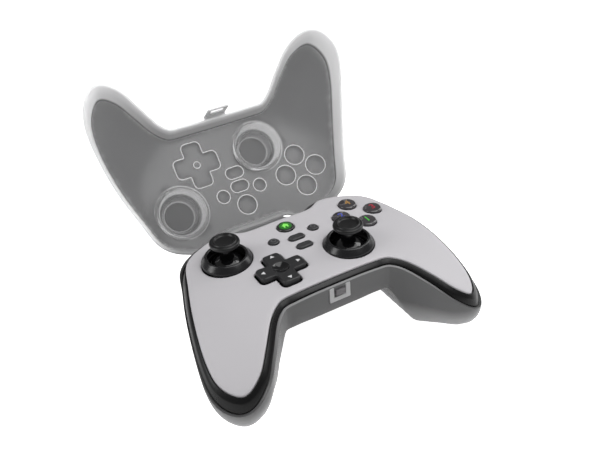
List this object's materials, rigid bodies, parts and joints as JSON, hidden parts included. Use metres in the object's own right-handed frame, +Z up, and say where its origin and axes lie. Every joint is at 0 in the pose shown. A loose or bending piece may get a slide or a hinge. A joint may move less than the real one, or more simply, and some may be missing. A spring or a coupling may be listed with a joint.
{
  "type": "gamepad in clear hard case",
  "caption": "Game controller with tilting thumb sticks, cross pad, buttons, bumpers and triggers, seated in a smoked clear clamshell case with its lid open.",
  "frame": {"origin": "on the floor under the middle of the assembly's box, lid open", "axes": "+X to the player's right, +Y from the player towards the hinge and the open lid, +Z up"},
  "size_m": [0.1638, 0.176, 0.1237],
  "materials": {
    "clear_case": "smoked clear plastic, moulded",
    "faceplate": "matte light grey, moulded",
    "black_shell": "satin black, moulded",
    "black_gloss": "glossy black",
    "soft_black": "matte grip rubber",
    "key_smoke": "dark smoked caps",
    "dpad_grey": "dark grey",
    "home_cap": "dark cap with a lit mark",
    "steel": "plain steel",
    "inner_plastic": "plain moulding",
    "board": "solder-masked board",
    "cell": "wrapped cell",
    "light": "clear lens",
    "membrane": "moulded silicone"
  },
  "bodies": {
    "tray": {"case_tray": "clear_case", "hinge_pin": "steel"},
    "lid": {"case_lid": "clear_case", "lid_wall": "clear_case"},
    "gamepad": {"faceplate": "faceplate", "front_shell": "black_shell", "back_shell": "black_shell", "rear_bridge": "black_shell", "usb_port": "steel", "main_board": "board", "battery": "cell", "home_light": "light", "face_membrane": "membrane", "centre_membrane": "membrane", "housing_screws": "steel", "left_collar": "black_shell", "right_collar": "black_shell", "left_module": "steel", "right_module": "steel", "dpad_base": "inner_plastic", "left_trigger_bracket": "inner_plastic", "right_trigger_bracket": "inner_plastic", "left_trigger_pin": "steel", "right_trigger_pin": "steel", "left_motor": "steel", "right_motor": "steel"},
    "left_stick_ring": {"left_yoke": "inner_plastic"},
    "left_stick_cradle": {"left_cradle": "steel"},
    "left_stick": {"left_stem": "black_gloss", "left_cap": "soft_black"},
    "right_stick_ring": {"right_yoke": "inner_plastic"},
    "right_stick_cradle": {"right_cradle": "steel"},
    "right_stick": {"right_stem": "black_gloss", "right_cap": "soft_black"},
    "dpad_ring": {"dpad_rocker": "steel"},
    "dpad": {"dpad_cap": "dpad_grey"},
    "face_rear": {"face_rear": "key_smoke"},
    "face_right": {"face_right": "key_smoke"},
    "face_front": {"face_front": "key_smoke"},
    "face_left": {"face_left": "key_smoke"},
    "home_button": {"home_button": "home_cap"},
    "small_left": {"small_left": "key_smoke"},
    "small_right": {"small_right": "key_smoke"},
    "pill_upper": {"pill_upper": "key_smoke"},
    "pill_lower": {"pill_lower": "key_smoke"},
    "left_bumper": {"left_bumper": "black_shell"},
    "left_trigger": {"left_trigger": "black_shell"},
    "left_weight": {"left_weight": "steel"},
    "right_bumper": {"right_bumper": "black_shell"},
    "right_trigger": {"right_trigger": "black_shell"},
    "right_weight": {"right_weight": "steel"}
  },
  "joints": [
    {"name": "lid_hinge", "type": "hinge", "parent": "tray", "child": "lid", "pos_m": [0, 0.01958, 0.0321], "axis": [1, 0, 0], "range_deg": [0, 132]},
    {"name": "gamepad_lift", "type": "slide", "parent": "tray", "child": "gamepad", "axis": [0, 0, 1], "range_m": [0, 0.1]},
    {"name": "left_stick_pitch", "type": "hinge", "parent": "gamepad", "child": "left_stick_ring", "pos_m": [-0.0403, -0.01072, 0.03667], "axis": [1, 0, 0], "range_deg": [-15, 15], "stiffness_Nm_per_rad": 0.08},
    {"name": "left_stick_roll", "type": "hinge", "parent": "left_stick_ring", "child": "left_stick_cradle", "pos_m": [-0.0403, -0.01072, 0.03667], "axis": [0, 1, 0], "range_deg": [-15, 15], "stiffness_Nm_per_rad": 0.08},
    {"name": "left_stick_click", "type": "slide", "parent": "left_stick_cradle", "child": "left_stick", "axis": [0, 0, -1], "range_m": [0, 0.0006], "stiffness_N_per_m": 1500, "springref_m": -0.0004},
    {"name": "right_stick_pitch", "type": "hinge", "parent": "gamepad", "child": "right_stick_ring", "pos_m": [0.0208, -0.03572, 0.03739], "axis": [1, 0, 0], "range_deg": [-15, 15], "stiffness_Nm_per_rad": 0.08},
    {"name": "right_stick_roll", "type": "hinge", "parent": "right_stick_ring", "child": "right_stick_cradle", "pos_m": [0.0208, -0.03572, 0.03739], "axis": [0, 1, 0], "range_deg": [-15, 15], "stiffness_Nm_per_rad": 0.08},
    {"name": "right_stick_click", "type": "slide", "parent": "right_stick_cradle", "child": "right_stick", "axis": [0, 0, -1], "range_m": [0, 0.0006], "stiffness_N_per_m": 1500, "springref_m": -0.0004},
    {"name": "dpad_pitch", "type": "hinge", "parent": "gamepad", "child": "dpad_ring", "pos_m": [-0.0208, -0.03572, 0.04079], "axis": [1, 0, 0], "range_deg": [-4, 4], "stiffness_Nm_per_rad": 0.15},
    {"name": "dpad_roll", "type": "hinge", "parent": "dpad_ring", "child": "dpad", "pos_m": [-0.0208, -0.03572, 0.04079], "axis": [0, 1, 0], "range_deg": [-4, 4], "stiffness_Nm_per_rad": 0.15},
    {"name": "face_rear_press", "type": "slide", "parent": "gamepad", "child": "face_rear", "axis": [0, 0, -1], "range_m": [0, 0.0012], "stiffness_N_per_m": 500, "springref_m": -0.0005},
    {"name": "face_right_press", "type": "slide", "parent": "gamepad", "child": "face_right", "axis": [0, 0, -1], "range_m": [0, 0.0012], "stiffness_N_per_m": 500, "springref_m": -0.0005},
    {"name": "face_front_press", "type": "slide", "parent": "gamepad", "child": "face_front", "axis": [0, 0, -1], "range_m": [0, 0.0012], "stiffness_N_per_m": 500, "springref_m": -0.0005},
    {"name": "face_left_press", "type": "slide", "parent": "gamepad", "child": "face_left", "axis": [0, 0, -1], "range_m": [0, 0.0012], "stiffness_N_per_m": 500, "springref_m": -0.0005},
    {"name": "home_button_press", "type": "slide", "parent": "gamepad", "child": "home_button", "axis": [0, 0, -1], "range_m": [0, 0.0006], "stiffness_N_per_m": 900, "springref_m": -0.0005},
    {"name": "small_left_press", "type": "slide", "parent": "gamepad", "child": "small_left", "axis": [0, 0, -1], "range_m": [0, 0.0006], "stiffness_N_per_m": 900, "springref_m": -0.0005},
    {"name": "small_right_press", "type": "slide", "parent": "gamepad", "child": "small_right", "axis": [0, 0, -1], "range_m": [0, 0.0006], "stiffness_N_per_m": 900, "springref_m": -0.0005},
    {"name": "pill_upper_press", "type": "slide", "parent": "gamepad", "child": "pill_upper", "axis": [0, 0, -1], "range_m": [0, 0.0006], "stiffness_N_per_m": 900, "springref_m": -0.0005},
    {"name": "pill_lower_press", "type": "slide", "parent": "gamepad", "child": "pill_lower", "axis": [0, 0, -1], "range_m": [0, 0.0006], "stiffness_N_per_m": 900, "springref_m": -0.0005},
    {"name": "left_bumper_press", "type": "hinge", "parent": "gamepad", "child": "left_bumper", "pos_m": [-0.0186, 0.00748, 0.0375], "axis": [0, 0, 1], "range_deg": [0, 1.2], "stiffness_Nm_per_rad": 1.5, "springref_deg": -0.57},
    {"name": "left_trigger_pull", "type": "hinge", "parent": "gamepad", "child": "left_trigger", "pos_m": [-0.04368, 0.01012, 0.027], "axis": [-0.9562, -0.2929, 0], "range_deg": [0, 7], "stiffness_Nm_per_rad": 0.12, "springref_deg": -5.73},
    {"name": "left_weight_spin", "type": "hinge", "parent": "gamepad", "child": "left_weight", "pos_m": [-0.06, -0.05632, 0.027], "axis": [0, 0, 1], "continuous": true},
    {"name": "right_bumper_press", "type": "hinge", "parent": "gamepad", "child": "right_bumper", "pos_m": [0.0186, 0.00748, 0.0375], "axis": [0, 0, -1], "range_deg": [0, 1.2], "stiffness_Nm_per_rad": 1.5, "springref_deg": -0.57},
    {"name": "right_trigger_pull", "type": "hinge", "parent": "gamepad", "child": "right_trigger", "pos_m": [0.04368, 0.01012, 0.027], "axis": [-0.9562, 0.2929, 0], "range_deg": [0, 7], "stiffness_Nm_per_rad": 0.12, "springref_deg": -5.73},
    {"name": "right_weight_spin", "type": "hinge", "parent": "gamepad", "child": "right_weight", "pos_m": [0.06, -0.05632, 0.027], "axis": [0, 0, 1], "continuous": true}
  ]
}
